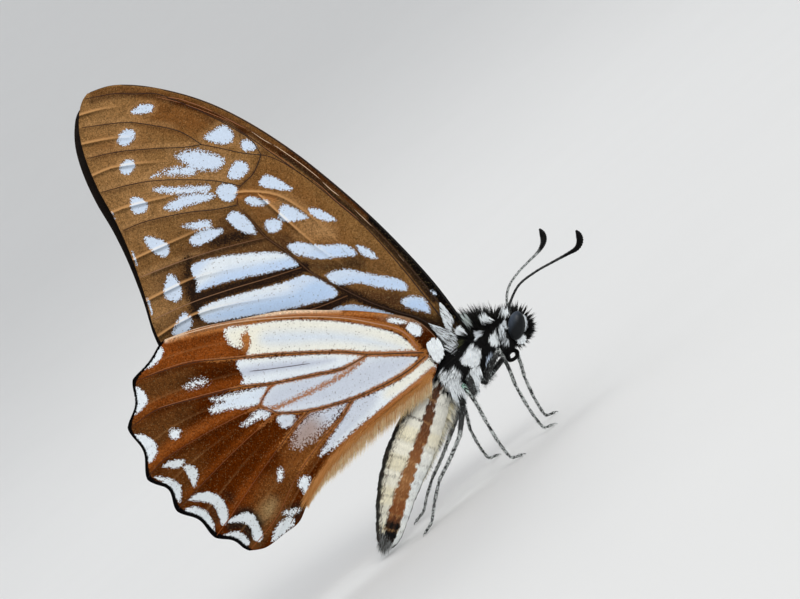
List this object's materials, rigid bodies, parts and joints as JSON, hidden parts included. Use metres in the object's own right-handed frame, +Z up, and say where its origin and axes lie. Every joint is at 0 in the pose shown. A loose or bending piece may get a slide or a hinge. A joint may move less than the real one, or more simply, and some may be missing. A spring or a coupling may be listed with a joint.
{
  "type": "lesser zebra butterfly",
  "caption": "Life-size still model of a lesser zebra butterfly standing on its feet with its wings closed upright over its back.",
  "frame": {"origin": "middle of the bounding box at floor level, under the feet", "axes": "+X forwards past the head, +Y to the animal's left, +Z up from the floor"},
  "size_m": [0.0498, 0.0136, 0.0562],
  "materials": {
    "forewing": "matt scaled wing, ochre brown with pale blue-white markings",
    "hindwing": "matt scaled wing, cream and blue-white with russet and black markings",
    "body_fur": "black fur with white tufts",
    "abdomen_coat": "short cream coat with a rust-brown stripe",
    "eye": "glossy dark grey facets",
    "horn": "satin black horn",
    "leg": "pale grey scales speckled with black"
  },
  "bodies": {
    "root": {"head": "body_fur", "thorax": "body_fur", "abdomen": "abdomen_coat", "eye_right": "eye", "eye_left": "eye", "palp_right": "body_fur", "palp_left": "body_fur", "proboscis": "horn", "antenna_right": "horn", "antenna_left": "horn", "leg_fore_right": "leg", "leg_fore_left": "leg", "leg_mid_right": "leg", "leg_mid_left": "leg", "leg_hind_right": "leg", "leg_hind_left": "leg", "forewing_right": "forewing", "forewing_left": "forewing", "hindwing_right": "hindwing", "hindwing_left": "hindwing"}
  },
  "joints": []
}
